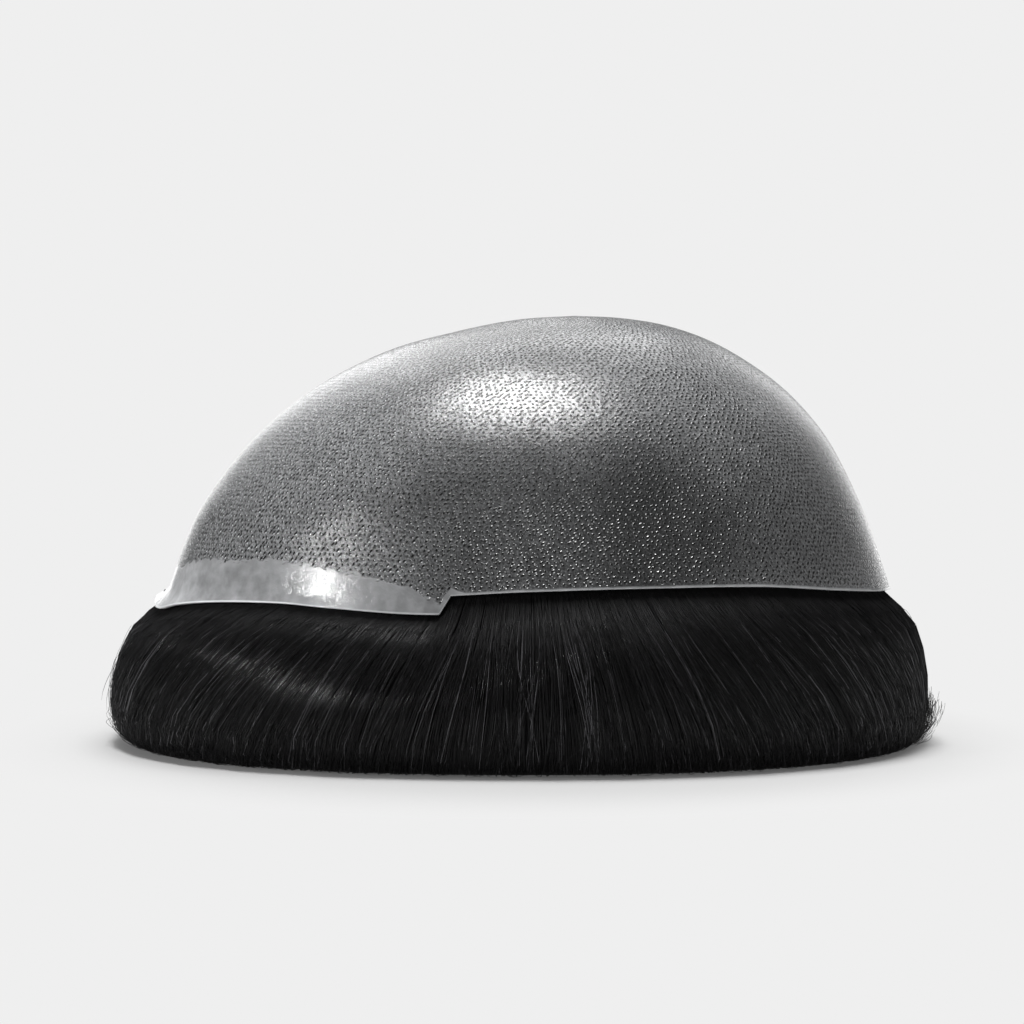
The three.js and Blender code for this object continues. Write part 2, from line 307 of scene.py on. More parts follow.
def tinted(tone, red, green, blue):
    """Grey of a tone with a tint: the tone times one share for each colour."""
    return Val.node("CombineColor", {}, {"Red": tone * red, "Green": tone * green, "Blue": tone * blue})


# The knots are loops of black hair tied through the skin and sealed in it, one every 1.3 mm in rows round the
# crown. Each makes a small mound in the film, and many have a painted glint beside them: a pale fleck in the
# colour where the mound would catch the light.
# Half sizes, wander and places are shares of the pitch along a row and of the distance between rows.
knot_pitch = 0.00133
knot_row = 0.0012
knot_half = (0.20, 0.37)
knot_bounds = (0.45, 1.15)
knot_least = 0.72
knot_range = 0.55
knot_wander = (0.48, 0.42)
knot_slant = 1.1
knot_dark = 0.97
mound_half = (0.34, 0.40)
mound_bounds = (0.0, 1.0)
mound_place = 0.04
mound_lift = 0.00019
# Painted glints: pale flecks in the colour beside some knots, standing in for light caught on their mounds
glint_half = (0.12, 0.14)
glint_bounds = (0.3, 1.0)
glint_place = (0.25, 0.3)
glint_tone = 0.95
glint_least = 0.07

# The film is milky, and cloudy where the hair behind touches it. Its colour is darkest in an oval on the
# lower back half, partly painted shade where less light falls and partly where the hair lies closest.
# Scales are per metre, and lifts are the height of the bumps in metres.
film_pale = 0.232
film_dark = 0.022
film_contrast = 1.3
film_tint = (0.985, 1.0, 1.02)
# The oval of painted shade, where the hair also lies closest: its middle and its reach
shade_and_contact_middle = (0.033, 0.0, 0.055)
shade_and_contact_reach = (0.050, 1.0, 0.0235)
least_light = 0.08
light_outside_shade_and_contact = 0.62
cloud_scale = 30.0
cloud_depth = 0.7
cloud_lift = 0.0006
patch_scale = 11.0
patch_depth = 0.6
grain_scale = 1900.0
grain_contrast = 2.5
grain_lift = 0.00008
grain_lift_lost = 0.00004
fuzz_scale = 320.0
fuzz_lift = 0.00014
strip_tone = 0.23
strip_contrast = 1.5
strip_tip = 0.15
strip_tip_from = (0.070, 0.094)
strip_ragged = (4.0, 2.2)
cut_tone = 0.65


def oval_distance(place, middle, reach):
    """Distance from a middle, each axis measured in its own reach: 0 in the middle and 1 at the reach."""
    away = Val.node("VectorMath", {"operation": "SUBTRACT"}, {0: place, 1: middle})
    scaled = Val.node("VectorMath", {"operation": "DIVIDE"}, {0: away, 1: reach})
    return Val.node("VectorMath", {"operation": "LENGTH"}, {0: scaled}, output=1)


def noise(place, scale, detail, roughness=0.5):
    """Soft noise with octaves down to a detail, each weaker than the one before by the roughness."""
    inputs = {"Vector": place, "Scale": scale, "Detail": detail, "Roughness": roughness}
    return Val.node("TexNoise", {}, inputs)


def spot(across, down, half, bounds):
    """An oval spot: the two distances over their half sizes, squared and added. 1 where that is below the
    first bound, 0 where it is above the second, and a smooth step between."""
    return 1 - ((across / half[0]) ** 2.0 + (down / half[1]) ** 2.0).rising(*bounds)


def skin_material():
    """Knots on a lattice read from the UV map: u counts knots along a row and v counts rows, and each second
    row is shifted by half a knot. Each knot has its own size, place and slant by chance. Round it the film
    rises in a mound, and beside it may lie a painted glint, a pale fleck in the colour, more of them towards
    the front. The film's colour is darkest in an oval on the lower back half, partly painted shade and partly
    where the hair lies closest. Over that lie clouds in the film's tone, and the slow ripple of a thin sheet.
    Three attributes guide it: bare is the height in mm over the line where the knots end, strip is 1 along
    the milky strip, which is palest at its front tip, and height is the height in mm over the cut edge, which
    is pale too."""
    material, surface = new_material("clear_skin")
    place = Val.node("TexCoord", output=3)
    x, _, _ = place.xyz()
    clouds = noise(place, cloud_scale, 4.0, 0.6)
    patches = noise(place, patch_scale, 2.0)
    grain = noise(place, grain_scale, 3.0, 0.7)
    fuzz = noise(place, fuzz_scale, 2.0)

    u, v, _ = Val.node("UVMap", {"uv_map": "knots"}).xyz()
    row = v.whole()
    along = u + (row * 0.5).part()
    own = Val.node("CombineXYZ", {}, {"X": along.whole(), "Y": row})
    chance_x, chance_y, chance_z = Val.node("TexWhiteNoise", {}, {"Vector": own}, output=1).xyz()
    size = knot_least + knot_range * chance_z
    down = (v.part() - 0.5 + (chance_y - 0.5) * knot_wander[1]) / size
    across = (along.part() - 0.5 + (chance_x - 0.5) * knot_wander[0]) / size
    across = across + down * (chance_z - 0.5) * knot_slant

    over_bare = Val.node("Attribute", {"attribute_name": "bare"}, output=2)
    in_strip = Val.node("Attribute", {"attribute_name": "strip"}, output=2)
    height = Val.node("Attribute", {"attribute_name": "height"}, output=2)
    bare = 1 - (over_bare + in_strip * (fuzz - 0.5) * strip_ragged[0]).rising(-0.25, 0.25)
    tied = (over_bare + in_strip * (chance_z - 0.5) * strip_ragged[1]).rising(0.1, 0.4)
    cut = (1 - height.rising(0.15, 0.3 + 0.2 * in_strip)) * (0.4 + 0.6 * in_strip)
    mark = spot(across, down, knot_half, knot_bounds) * tied
    swell = spot(across, down - mound_place, mound_half, mound_bounds) * tied
    # Painted glints: a pale fleck beside some knots, more of them towards the front and in the clouds
    lit = (chance_x * 7.0 + chance_y * 3.0).part().rising(0.35, 0.85) * tied
    painted_glint = spot(across - glint_place[0], down - glint_place[1] * chance_z, glint_half, glint_bounds) * lit
    glint_spread = (patches + clouds - x * 6.0).rising(0.75, 1.2)

    # Painted shade, and where the hair lies closest: the film's colour is darkest in an oval on the lower
    # back
    outside_shade_and_contact = oval_distance(place, shade_and_contact_middle, shade_and_contact_reach).rising(0.1, 1.9)
    light = least_light + outside_shade_and_contact * light_outside_shade_and_contact
    light = (light + (clouds - 0.5) * cloud_depth + (patches - 0.5) * patch_depth).clamped()
    film = film_dark + (film_pale - film_dark) * light ** film_contrast
    film = film * (grain * 2) ** grain_contrast
    knotted = film * (1 - mark * knot_dark)
    knotted = knotted + painted_glint * (glint_tone - knotted) * (glint_least + (1 - glint_least) * glint_spread)
    strip = strip_tone * (clouds * 1.3 + fuzz * 0.7) ** strip_contrast
    strip = strip + strip_tip * (0 - x).rising(*strip_tip_from)
    tone = knotted + bare * (strip - knotted)
    tone = (tone + cut * (cut_tone - tone)).clamped()

    lift = swell * mound_lift + clouds * cloud_lift + grain * (grain_lift - bare * grain_lift_lost)
    lift = lift + bare * fuzz * fuzz_lift
    normal = Val.node("Bump", {}, {"Height": lift, "Strength": 1.0, "Distance": 1.0})
    finish(
        surface,
        Base_Color=tinted(tone, *film_tint),
        Roughness=0.12 + grain * 0.06 - swell * 0.05 - bare * 0.055,
        Normal=normal,
        IOR=1.5,
    )
    return material


# How far above the lower edge the skin is left bare of knots, by degrees from the front
bare_turn = (0, 25, 55, 62, 67, 72, 74.5, 77, 79, 81.5, 180)
bare_height = (0.0105, 0.0105, 0.0100, 0.0092, 0.0082, 0.0070, 0.0060, 0.0036, 0.0028, 0.0005, 0.0005)

# Most rows of the skin's points lie a whole number of knot rows apart, and the last few go on to the edge
skin_columns = 320
arc_rows = 48
rows_a_face = 2
edge_shares = (0.2, 0.4, 0.6, 0.8, 0.94, 1)
steady_within = 0.13
spare_knots = 1.1
fewest_knots = 3
mm = 1000

strip_corners = [
    math.pi + side * math.radians(turn) for side in (-1, 1) for turn in (strip_end, strip_end - strip_slope)
]
even = np.arange(skin_columns - 4) / (skin_columns - 4) * 2 * math.pi
skin_angles = np.sort(np.concatenate([even, strip_corners]))[:, None]


def arc_down(angles, reach):
    """Length along the skin from the crown to each reach, on each column of angles."""
    steps = np.linalg.norm(np.diff(skin_point(angles, reach), axis=1), axis=-1)
    return np.concatenate([np.zeros((len(angles), 1)), np.cumsum(steps, axis=1)], axis=1)


def row_reaches():
    """Reach of every row of points, and its distance from the crown counted in rows of knots. The rows take
    even shares of the way down to the rim, and then the edge's own shares of what is left."""
    fine = np.linspace(0, 1, 500)[None, :]
    arc = arc_down(skin_angles, fine)
    knot_rows = round(arc[:, -1].mean() / knot_row)
    shares = np.arange(1, arc_rows + 1) * rows_a_face / knot_rows
    reach = np.stack([np.interp(shares * column[-1], column, fine[0]) for column in arc])
    last = reach[:, -1:]
    reach = np.concatenate([reach, last + (edge_reach(skin_angles) - last) * np.array([edge_shares])], axis=1)
    row_arc = arc_down(skin_angles, np.concatenate([np.zeros_like(skin_angles), reach], axis=1))[:, 1:]
    past = np.where(np.arange(reach.shape[1]) < arc_rows, 0, row_arc - row_arc[:, arc_rows - 1 : arc_rows])
    count = np.minimum(np.arange(1, reach.shape[1] + 1), arc_rows) * rows_a_face
    return reach, count + past / arc[:, -1:] * knot_rows


def knots_round(reach):
    """For each row of points: the share of the row's knots met by each column, and how many knots the row
    has, if each is to have the same area. A stretch of rows keeps one count, so that its knots stay
    staggered."""
    closed = np.concatenate([skin_angles, skin_angles[:1] + 2 * math.pi])
    line = skin_point(closed, np.vstack([reach, reach[:1]]))
    height = np.linalg.norm(np.diff(line, axis=1, prepend=line[:, :1]), axis=-1)
    area = np.linalg.norm(np.diff(line, axis=0), axis=-1) * (height[1:] + height[:-1]) / 2
    met = np.concatenate([np.zeros((1, reach.shape[1])), np.cumsum(area, axis=0)])
    wanted = met[-1] / (knot_pitch * knot_row * rows_a_face)
    wanted[0] = wanted[1] / 2
    counts = []
    for want in wanted[:arc_rows]:
        steady = counts and abs(math.log(want / counts[-1])) < steady_within
        fresh = max(round(want * (spare_knots if counts else 1)), fewest_knots)
        counts.append(counts[-1] if steady else fresh)
    counts += [counts[-1]] * (reach.shape[1] - arc_rows)
    met /= met[-1]
    met[:, 0] = met[:, 1]
    met[:, arc_rows:] = met[:, arc_rows - 1 : arc_rows]
    return met, np.array(counts)


skin_reach, skin_level = row_reaches()
rows = skin_reach.shape[1]
pole = np.array([[rim_middle + crown_shift, 0, crown_height - depth] for depth in (0, skin_wall)])
skin_faces = [skin_point(skin_angles, skin_reach), under_skin(skin_angles, skin_reach, skin_wall)]
skin_points = np.concatenate([pole, *(face.reshape(-1, 3) for face in skin_faces)])
corners = shell_faces(skin_columns, rows)
skin_quads = [face for point, _, _ in corners for face in point.tolist()]
skin = new_piece("skin", skin_points, skin_quads, skin_material())

met, counts = knots_round(skin_reach)
flat_uv = []
for point, column, row in corners:
    of_face = counts[np.maximum(row.max(axis=1), 0)][:, None]
    at_pole = row < 0
    row = np.maximum(row, 0)
    level = np.where(at_pole, 0, skin_level[column % skin_columns, row])
    flat_uv.append(np.stack([met[column, row] * of_face, level], axis=-1).reshape(-1, 2))
flat_uv = np.concatenate(flat_uv).ravel().astype(np.float32)
skin.data.uv_layers.new(name="knots").data.foreach_set("uv", flat_uv)


def lay_number(name, at_pole, values):
    """A number at each point of the skin, the same on both faces, for its material to read."""
    values = np.concatenate([[at_pole, at_pole], values.ravel(), values.ravel()]).astype(np.float32)
    skin.data.attributes.new(name, "FLOAT", "POINT").data.foreach_set("value", values)


above = skin_point(skin_angles, skin_reach)[..., 2] - edge_level(skin_angles)
bare_line = np.interp(turn_from_front(skin_angles), bare_turn, bare_height)
lay_number("bare", 99, (above - bare_line) * mm)
lay_number("height", 99, above * mm)
lay_number("strip", 0, np.repeat(strip_share(skin_angles), rows))
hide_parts("skin_base")


# The roll is straight, near-black hair that hangs from the skin. It comes out below the rim, is combed to the
# front and the back from a parting on the side, and turns under to the floor and up inside, where it leaves a
# nest with an oval mouth.
front_bulge = 0.0156
side_bulge = 0.0140
back_bulge = 0.0098
nest_length = 0.118
nest_width = 0.066
root_thickness = 0.005
lock_count = 32
lock_depth = 0.0018
lock_waviness = 0.0008
sweep = math.radians(16)
root_line = 0.945
clearance = 0.00035
roll_columns = 512
finer = 2
sunk = 0.0022
floor_gap = 0.0003
hair_grain = (900.0, 6.0, 1.0)
grain_depth = 0.0006

# The roll from where it leaves the skin to where it lies on the floor, and back up inside: how far out, as a
# share of the bulge, or how far in, as a share of the way to the nest's mouth; the height as a share of the
# edge's; how much of the combing the hair has taken there; and how deep the locks are
outer_out = (0.34, 0.56, 0.8, 0.94, 1, 0.94, 0.76, 0.5)
outer_height = (0.9, 0.79, 0.62, 0.45, 0.28, 0.13, 0.04, 0)
outer_comb = (0.2, 0.42, 0.64, 0.82, 0.94, 1, 1.02, 1.04)
outer_relief = (0.35, 0.7, 1, 1, 0.9, 0.7, 0.35, 0)
inner_in = (0.22, 0.28, 0.34, 0.42, 0.52, 0.64, 0.78, 0.93, 1, 0.93)
inner_height = (1.02, 0.94, 0.86, 0.76, 0.64, 0.52, 0.39, 0.25, 0.12, 0)
inner_comb = (0.1, 0.15, *outer_comb)

# Behind the skin's edge the roll draws back from the skin: by reach, its depth below the skin's inner face
shoulder_reach = (root_line, 0.975, 0.994)
shoulder_depth = (0, 0.0006, 0.0014)
edge_depth = 0.0018
tuck_down = 0.0016
tuck_in = 0.0032


def rim_outward(angle):
    """Level unit vector straight out from the rim."""
    step = 0.01
    along = unit(rim_oval(angle + step) - rim_oval(angle - step))
    return np.stack([along[..., 1], -along[..., 0], np.zeros_like(along[..., 0])], axis=-1)


def bulge_at(angle):
    """How far the roll stands out: the side's bulge, turning to the end's as the square of the cosine."""
    end = np.where(np.cos(angle) < 0, front_bulge, back_bulge)
    return side_bulge + (end - side_bulge) * np.cos(angle) ** 2


def combed(root, share):
    """Angle that hair rooted at an angle has come to, once it has taken a share of the combing."""
    return root - sweep * share * np.sin(2 * root)


def on_roll(root, out, height, share, lift):
    """Point on the outside of the roll, at a share of the bulge and of the edge's height, and a lift more."""
    angle = combed(root, share)
    reach_out = bulge_at(angle) * out + lift
    point = rim_oval(angle) + rim_outward(angle) * reach_out[..., None]
    point[..., 2] = low_level(angle) * height
    return point


def in_nest(root, inward, height, share):
    """Point on the inside of the roll, at a share of the way from the rim to the nest's mouth."""
    angle = combed(root, share)
    rim, mouth = rim_oval(angle), oval(angle, nest_length, nest_width)
    point = rim + (mouth - rim) * inward[..., None]
    point[..., 2] = low_level(angle) * height
    return point


def lock_relief(root):
    """Round locks side by side, with an uneven wave of two sines in how far each stands out."""
    along = root / (2 * math.pi) * lock_count
    arch = np.abs(np.sin(along * math.pi)) ** 0.7 - 1
    wave = 0.6 * np.sin(along * 2.4) + 0.4 * np.sin(along * 5.1)
    return lock_depth * arch + lock_waviness * wave * np.abs(np.sin(root)) ** 0.2


def refined(values):
    """A table's values with the middle between each two let in, on the same smooth curve."""
    places = np.arange(len(values))
    return smooth_curve(np.linspace(0, len(values) - 1, finer * (len(values) - 1) + 1), places, values)


def loop_faces(columns, around):
    """Quads of a closed ring: columns of points round it, each a closed loop."""
    c, k = (grid.ravel() for grid in np.meshgrid(np.arange(columns), np.arange(around), indexing="ij"))
    ahead, after = (c + 1) % columns, (k + 1) % around
    quads = np.stack([c * around + k, c * around + after, ahead * around + after, ahead * around + k], axis=1)
    return quads.tolist()


def hair_material():
    """Near-black hair: fine bumps and tone that run along each strand, by the piece's UV map, u across the
    hair and v along it."""
    material, surface = new_material("hair_mass")
    across = Val.node("UVMap", {"uv_map": "strand"})
    stretch = Val.node("Mapping", {}, {"Vector": across, "Scale": hair_grain})
    fine = Val.node("TexNoise", {"noise_dimensions": "2D"}, {"Vector": stretch, "Scale": 1.0, "Detail": 4.0})
    finish(
        surface,
        Base_Color=tinted(0.0035 + 0.004 * fine, 1.0, 0.99, 1.05),
        Roughness=0.5 + 0.2 * fine,
        Normal=Val.node("Bump", {}, {"Height": fine, "Strength": 1.0, "Distance": grain_depth}),
        IOR=1.2,
    )
    return material


def lay_uv(piece, across, along):
    """The piece's own UV map, named strand, from two numbers at each point."""
    corners = np.zeros(len(piece.data.loops), np.int32)
    piece.data.loops.foreach_get("vertex_index", corners)
    flat = np.stack([np.ravel(across)[corners], np.ravel(along)[corners]], axis=1)
    piece.data.uv_layers.new(name="strand").data.foreach_set("uv", flat.ravel().astype(np.float32))


roots = (np.arange(roll_columns) / roll_columns * 2 * math.pi)[:, None]
under = skin_wall + clearance
relief = lock_relief(roots) * refined(outer_relief) - sunk
roll_outer = on_roll(roots, refined(outer_out), refined(outer_height), refined(outer_comb), relief)
roll_inner = in_nest(roots, refined(inner_in), refined(inner_height), refined(inner_comb))
for face in (roll_outer, roll_inner):
    face[..., 2] = np.maximum(face[..., 2], floor_gap)
tuck = skin_point(roots, edge_reach(roots))
tuck[..., 2] -= tuck_down
tuck = tuck - rim_outward(roots) * tuck_in
roll_top = [
    under_skin(roots, np.full_like(roots, reach), under + depth)
    for reach, depth in zip(shoulder_reach, shoulder_depth)
]
roll_edge = under_skin(roots, edge_reach(roots), under + edge_depth)
roll_back = [
    under_skin(roots, np.full_like(roots, reach), under + root_thickness)
    for reach in (shoulder_reach[-1], root_line)
]
roll_loop = [*roll_top, roll_edge, tuck, roll_outer, roll_inner[:, ::-1], *roll_back]
roll_points = np.concatenate(roll_loop, axis=1)
around = roll_points.shape[1]
mass_material = hair_material()
roll = new_piece("hair_roll", roll_points, loop_faces(roll_columns, around), mass_material)
roll_across = np.repeat(roots / (2 * math.pi), around, axis=1)
lay_uv(roll, roll_across, np.tile(np.arange(around) / around, (roll_columns, 1)))
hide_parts("hair_right", "hair_front", "hair_left", "hair_back")


# The mat is the hair knotted across the crown. It lies combed flat against the inside of the skin, in a few
# uneven lumps, and ends where the roll begins.
mat_columns = 160
mat_rows = 24
mat_thickness = 0.0034
mat_gap = 0.012
mat_lump = 0.0006
lumps_round = 14
mat_angles = (np.arange(mat_columns) / mat_columns * 2 * math.pi)[:, None]
mat_reach = np.arange(1, mat_rows + 1)[None, :] / mat_rows * (root_line - mat_gap)
lumps = mat_lump * np.sin(mat_angles * lumps_round) * mat_reach
mat_faces = [
    under_skin(mat_angles, mat_reach, np.full_like(lumps, under)),
    under_skin(mat_angles, mat_reach, under + mat_thickness + lumps),
]
mat_pole = pole - np.array([[0, 0, under], [0, 0, under + mat_thickness - skin_wall]])
mat_quads = [face for point, _, _ in shell_faces(mat_columns, mat_rows) for face in point.tolist()]
mat_points = np.concatenate([mat_pole, *(face.reshape(-1, 3) for face in mat_faces)])
mat = new_piece("hair_mat", mat_points, mat_quads, mass_material)
mat_across = np.concatenate([[0, 0], np.tile(np.repeat(mat_angles, mat_rows), 2) / (2 * math.pi)])
lay_uv(mat, mat_across, np.concatenate([[0, 0], np.tile(mat_reach.ravel(), mat_columns * 2)]))
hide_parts("hair_crown")


# The strands over the mass are single hairs, each a closed tapered rod. They come out under the skin's edge,
# follow the roll with their own small waywardness, gather in locks and end tucked under.
strand_width = 0.00017
strand_count = 3500
locks_round = 210
top_share = 0.45
top_lift = -0.0006
deep_lift = -0.0013
lock_lift = 0.0003
own_lift = 0.00018
lock_sway = 0.10
own_sway = 0.08
lock_wander = 0.010
own_wander = 0.008

# A strand's way down the roll, by the share of its length: how far it stands out, as a share of the bulge;
# its height, as a share of the edge's; and how far it has been combed. It starts out of sight behind the
# edge, and leaves it over a short stretch.
way = (0, 0.04, 0.15, 0.25, 0.38, 0.5, 0.61, 0.71, 0.78, 0.85, 0.93, 1.0)
way_out = (0, 0.03, 0.41, 0.63, 0.83, 0.93, 0.96, 0.89, 0.7, 0.46, 0.12, -0.3)
way_height = (1.04, 0.985, 0.9, 0.79, 0.62, 0.45, 0.28, 0.13, 0.035, 0.0, 0.0, 0.0)
way_comb = (-0.3, -0.25, -0.08, 0.1, 0.36, 0.6, 0.8, 0.94, 1.0, 1.03, 1.05, 1.06)
leaves_at = 0.03
leaves_over = 0.14

# How a strand wanders, stands off and curls, all by the share of its length
wander_pace = 4
wander_grows = 3
stand_off_pace = 1.1
stand_off_fullness = 0.6
aside_pace = 0.8
curl_height = 0.3

# The points of a strand, by the share of its length, and its width at each
stations = np.array([0, 0.045, 0.15, 0.27, 0.4, 0.53, 0.67, 0.82, 1.0])
taper = np.array([0.8, 1, 1, 1, 1, 1, 0.95, 0.8, 0.3])
chance = np.random.default_rng(41)


def rods(paths, widths, facing):
    """Three-sided rods along paths: at each point a triangle square to the path, closed at both ends."""
    tangent = unit(np.gradient(paths, axis=1))
    side = unit(np.cross(tangent, facing))
    over = np.cross(side, tangent)
    corners = []
    for turn in (math.pi / 2, math.pi * 7 / 6, math.pi * 11 / 6):
        corners.append(paths + (side * math.cos(turn) + over * math.sin(turn)) * widths[..., None] / 2)
    points = np.stack(corners, axis=2)
    count, length = paths.shape[:2]
    s, k = (grid.ravel() for grid in np.meshgrid(np.arange(count), np.arange(length - 1), indexing="ij"))
    base = (s * length + k) * 3
    quads = []
    for i, j in ((0, 1), (1, 2), (2, 0)):
        quads.append(np.stack([base + i, base + j, base + 3 + j, base + 3 + i], axis=1))
    first = np.arange(count) * length * 3
    last = first + (length - 1) * 3
    caps = [np.stack([first + 2, first + 1, first], axis=1), np.stack([last, last + 1, last + 2], axis=1)]
    return points, [*np.concatenate(quads).tolist(), *np.concatenate(caps).tolist()]


def strand_path(root, span, lift, sway, wander, curl):
    """Paths down the roll, each from one share of the way to another: out from the rim by the way's share of
    the bulge, and down by its share of the edge's height. lift stands a strand off the roll along an arch,
    sway multiplies its combing, wander moves it sideways along a slow sine, and curl adds a tight one."""
    start, end = (np.asarray(part)[:, None] for part in span)
    t = start + (end - start) * stations[None, :]
    turn, phase = (np.asarray(part)[:, None] for part in wander)
    size, pace, when = (np.asarray(part)[:, None] for part in curl)
    share = smooth_curve(t, way, way_comb)
    wandered = turn * np.sin(t * wander_pace + phase) * np.clip(t * wander_grows, 0, 1)
    first = np.asarray(root)[:, None] + wandered
    angle = first - sweep * share * np.sin(2 * first) * np.asarray(sway)[:, None]
    behind = (edge_reach(angle) - 1) * rim_reach(angle) - skin_wall - 2 * clearance
    out = np.clip((t - leaves_at) / leaves_over, 0, 1)
    arch = np.sin(np.clip(t * stand_off_pace, 0, 1) * math.pi) ** stand_off_fullness
    rise = np.asarray(lift)[:, None] * arch
    wave = size * np.sin(t * pace + when) * out
    aside = size * np.cos(t * pace * aside_pace + when * 2) * out
    stand = behind * (1 - out) + (bulge_at(angle) * smooth_curve(t, way, way_out)) * out + rise + wave
    outward = rim_outward(angle)
    path = rim_oval(angle) + outward * stand[..., None]
    tangent = np.stack([-outward[..., 1], outward[..., 0], np.zeros_like(angle)], axis=-1)
    path += tangent * aside[..., None]
    level = edge_level(angle) * (1 - out) + low_level(angle) * out
    height = level * smooth_curve(t, way, way_height) + wave * curl_height
    path[..., 2] = np.maximum(height, strand_width / 2)
    return path


def strand_widths(count, thin, thick):
    """Width along each of many strands: the taper, times the strand's own width by chance."""
    return strand_width * taper[None, :] * chance.uniform(thin, thick, (count, 1))


def strand_piece(name, paths, widths, tone):
    """One piece of many rods, with a UV map that holds each strand's own tone and the share along it."""
    middle = np.array([rim_middle, 0, 0.02])
    points, faces = rods(paths, widths, unit(paths - middle))
    piece = new_piece(name, points, faces, strand_material)
    count, length = paths.shape[:2]
    lay_uv(piece, np.repeat(tone, length * 3), np.tile(np.repeat(np.linspace(0, 1, length), 3), count))
    return piece


def strand_finish():
    """Near-black hair, mixed from a dull and a glossy finish. u of the UV map is the strand's own chance: the
    higher it is the more the gloss shows, and the last tenth of the strands are grey. v is the share along
    the strand, which is dull near the root, where the skin shades it, and there the dull colour is darker
    too, as painted shade."""
    material, surface = new_material("hair_strand")
    own, along, _ = Val.node("UVMap", {"uv_map": "strand"}).xyz()
    pale = tinted(0.002 + 0.12 * own.rising(0.88, 1.0), 1.0, 0.98, 1.05)
    glossy = Val.node("BsdfPrincipled", {}, {"Base Color": pale, "Roughness": 0.30 - 0.13 * own, "IOR": 1.6})
    # Painted shade: the dull colour is darkest at the root, under the skin's edge, and paler towards the tip
    dull_tone_shaded_at_root = tinted(0.004 + 0.010 * along, 1.0, 0.98, 1.05)
    dull = Val.node("BsdfPrincipled", {}, {"Base Color": dull_tone_shaded_at_root, "Roughness": 0.55, "IOR": 1.25})
    gloss = (0.12 + 0.88 * own.rising(0.42, 1.0)) * along.rising(0.2, 0.52)
    mixed = Val.node("MixShader", {}, {0: gloss, 1: dull, 2: glossy})
    Val.tree.links.new(mixed.socket, surface)
    return material


strand_material = strand_finish()
lock_chances = [np.random.default_rng(seed).normal(0, 1, locks_round) for seed in (7, 8, 9)]
quarters = {"right": 0.25, "front": 0.5, "left": 0.75, "back": 0}
half_quarter = 0.125
for name, middle_share in quarters.items():
    root = (middle_share + chance.uniform(-half_quarter, half_quarter, strand_count)) * 2 * math.pi
    lock = np.floor(root / (2 * math.pi) * locks_round).astype(int) % locks_round
    by_lock = [values[lock] for values in lock_chances]
    on_top = chance.random(strand_count) < top_share
    span = (np.zeros(strand_count), chance.uniform(0.86, 1, strand_count))
    lift = np.where(on_top, lock_lift * by_lock[0] + top_lift, deep_lift)
    lift += chance.normal(0, own_lift, strand_count)
    sway = 1 + np.where(on_top, lock_sway * by_lock[1], 0) + chance.normal(0, own_sway, strand_count)
    turn = np.where(on_top, lock_wander * by_lock[2], 0) + chance.normal(0, own_wander, strand_count)
    no_curl = (np.zeros(strand_count), np.ones(strand_count), np.ones(strand_count))
    paths = strand_path(root, span, lift, sway, (turn, by_lock[0] * 2), no_curl)
    widths = strand_widths(strand_count, 0.7, 1.25)
    strand_piece("strands_" + name, paths, widths, chance.random(strand_count))


# Loose hairs stand off the roll at their own angle. They are the cut ends that the comb has missed, most of
# them on the hairpiece's two ends, where they curl into a frizz.
loose_sunk = 0.0012
loose_end = 0.97
full_turn = 6.3
all_round_count = 800
back_count = 420
front_count = 70


def loose_hairs(name, root, first, lift, curl, length=0.36, pace=16):
    """Hairs that stand off the roll, each with its own angle, wave and length."""
    count = len(root)
    paths = strand_path(
        root,
        (first, np.minimum(first + chance.uniform(0.25, 1, count) * length, loose_end)),
        lift - loose_sunk,
        1 + chance.normal(0, 0.5, count),
        (chance.normal(0, 0.05, count), chance.uniform(0, full_turn, count)),
        (
            np.abs(chance.normal(0, curl, count)),
            chance.uniform(0.25, 1, count) * pace,
            chance.uniform(0, full_turn, count),
        ),
    )
    widths = strand_widths(count, 0.45, 0.8)
    strand_piece(name, paths, widths, chance.uniform(0.35, 0.93, count))


def spread(count, width):
    """How far each of many hairs stands off: mostly close, and a few far."""
    return np.abs(chance.normal(0, width, count))


loose_hairs(
    "loose_all_round",
    chance.uniform(0, full_turn, all_round_count),
    chance.uniform(0.08, 0.75, all_round_count),
    spread(all_round_count, 0.0011),
    curl=0.0005,
)
loose_hairs(
    "frizz_back",
    chance.normal(-0.25, 0.12, back_count),
    chance.uniform(0.58, 0.78, back_count),
    spread(back_count, 0.0026),
    curl=0.0008,
    length=0.11,
    pace=38,
)
loose_hairs(
    "frizz_front",
    chance.normal(math.pi + 0.3, 0.2, front_count),
    chance.uniform(0.6, 0.78, front_count),
    spread(front_count, 0.0012),
    curl=0.0006,
    length=0.14,
    pace=50,
)


# The hair that is turned under lies on the floor, comes round the mouth of the nest and goes up inside. By
# the stations of a strand: its share of the way in to the mouth, and its height as a share of the edge's.
under_in = np.array([-0.12, 0.15, 0.42, 0.68, 0.88, 0.98, 0.96, 0.82, 0.6])
under_height = np.array([0, 0, 0, 0.002, 0.025, 0.11, 0.25, 0.4, 0.58])
under_count = 1700
under_comb = 1.05
under_slant = 0.4
root = chance.uniform(0, 2 * math.pi, under_count)
inward = under_in[None, :] * chance.uniform(0.94, 1.03, (under_count, 1))
heights = under_height[None, :] * chance.uniform(0.9, 1.1, (under_count, 1))
own_slant = chance.normal(0, under_slant, (under_count, 1))
slant = under_comb + own_slant * np.linspace(1, -1, len(stations))[None, :]
turned = in_nest(root[:, None], inward, heights, slant)
turned[..., 2] = np.maximum(turned[..., 2], strand_width * chance.uniform(0.5, 1.4, (under_count, 1)))
widths = strand_widths(under_count, 0.7, 1.25)
strand_piece("strands_under", turned, widths, chance.random(under_count))


# Plain studio. One big soft light makes the gloss high on the skin and a small one the gloss on the strip.
# Tall ones behind on either side and wide ones behind the top draw the skin's outline, and two that the gloss
# doesn't show light the hair from above and from the front.
picture = 1024


